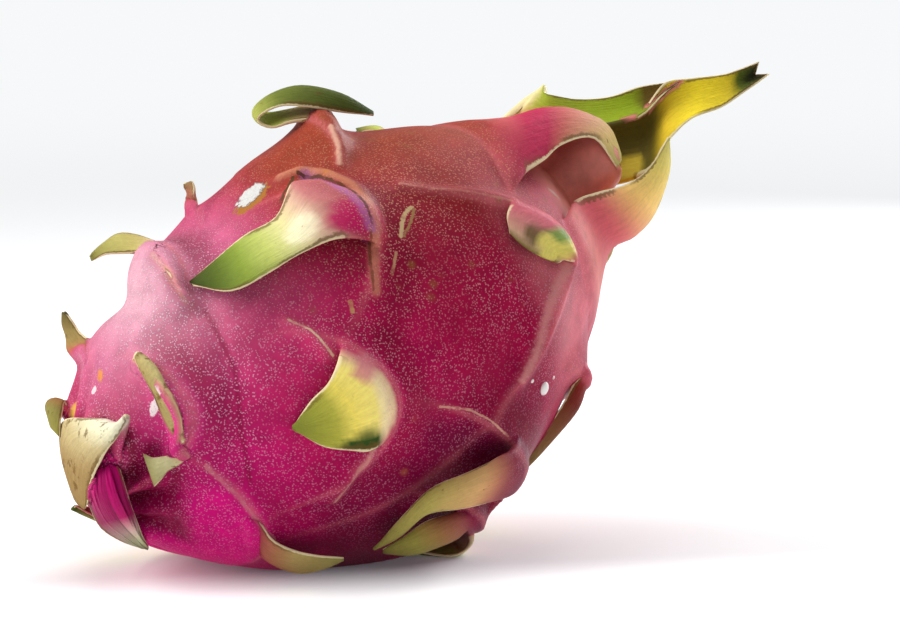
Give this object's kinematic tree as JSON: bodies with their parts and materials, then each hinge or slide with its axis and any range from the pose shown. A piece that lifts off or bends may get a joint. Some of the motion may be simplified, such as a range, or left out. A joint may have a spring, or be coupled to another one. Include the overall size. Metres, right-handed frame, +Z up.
{
  "type": "dragon fruit",
  "caption": "Whole dragon fruit lying on its side with its crown end raised, its rind set with curled leafy scales.",
  "frame": {"origin": "Centre of the bounding box at its base, on the surface that the fruit lies on.", "axes": "+X runs along the fruit from the stalk end to the crown, seen from above; +Z is up; -Y is the side that the picture shows."},
  "size_m": [0.1766, 0.0973, 0.105],
  "materials": {
    "rind": "leathery magenta rind with fine pale flecks and a soft gloss; scales run from pink at the root to yellow-green and olive at the tip"
  },
  "bodies": {
    "root": {"fruit": "rind"}
  },
  "joints": []
}
